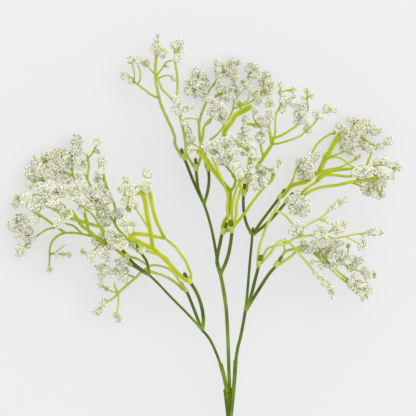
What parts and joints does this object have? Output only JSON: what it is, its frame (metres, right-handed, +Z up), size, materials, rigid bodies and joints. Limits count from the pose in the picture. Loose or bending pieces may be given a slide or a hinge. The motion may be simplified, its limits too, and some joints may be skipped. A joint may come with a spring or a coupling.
{
  "type": "gypsophila stem",
  "caption": "Moulded gypsophila stem lying down: a straight stem that divides into three branches carrying light green sprays with clusters of round white buds.",
  "frame": {"origin": "bottom centre of the box round the part, on the surface it lies on", "axes": "+Y up the stem from its cut end to the flower heads, +Z up from the surface towards the side that is seen, +X to the right"},
  "size_m": [0.2767, 0.4995, 0.0837],
  "materials": {
    "stem_green": "satin dark green moulded plastic",
    "spray_green": "satin light yellow-green moulded plastic",
    "flock_white": "granular matte white flock"
  },
  "bodies": {
    "root": {"branch_left": "stem_green", "branch_middle": "stem_green", "branch_right": "stem_green", "head_left_back_b": "flock_white", "head_left_back_c": "flock_white", "head_left_back_d": "flock_white", "head_left_high_a": "flock_white", "head_left_high_b": "flock_white", "head_left_mid_a": "flock_white", "head_mid_front_c": "flock_white", "head_mid_left_b": "flock_white", "head_mid_left_c": "flock_white", "head_right_back_a": "flock_white", "head_right_back_c": "flock_white", "head_right_front_a": "flock_white", "head_right_front_b": "flock_white", "head_right_front_c": "flock_white", "head_right_front_d": "flock_white", "head_right_low_a": "flock_white", "head_right_low_c": "flock_white", "head_right_low_g": "flock_white", "head_right_mid_b": "flock_white", "head_right_mid_e": "flock_white", "head_right_pale_b": "flock_white", "head_right_pale_e": "flock_white", "head_top_back_a": "flock_white", "head_top_back_b": "flock_white", "head_top_back_e": "flock_white", "head_top_back_h": "flock_white", "head_top_mid_e": "flock_white", "main_stem": "stem_green", "spray_left_back": "spray_green", "spray_left_front": "spray_green", "spray_left_high": "spray_green", "spray_left_low": "spray_green", "spray_left_mid": "spray_green", "spray_mid_front": "spray_green", "spray_mid_left": "spray_green", "spray_right_back": "spray_green", "spray_right_front": "spray_green", "spray_right_low": "spray_green", "spray_right_mid": "spray_green", "spray_right_pale": "spray_green", "spray_top_back": "spray_green", "spray_top_left": "spray_green", "spray_top_mid": "spray_green"}
  },
  "joints": []
}
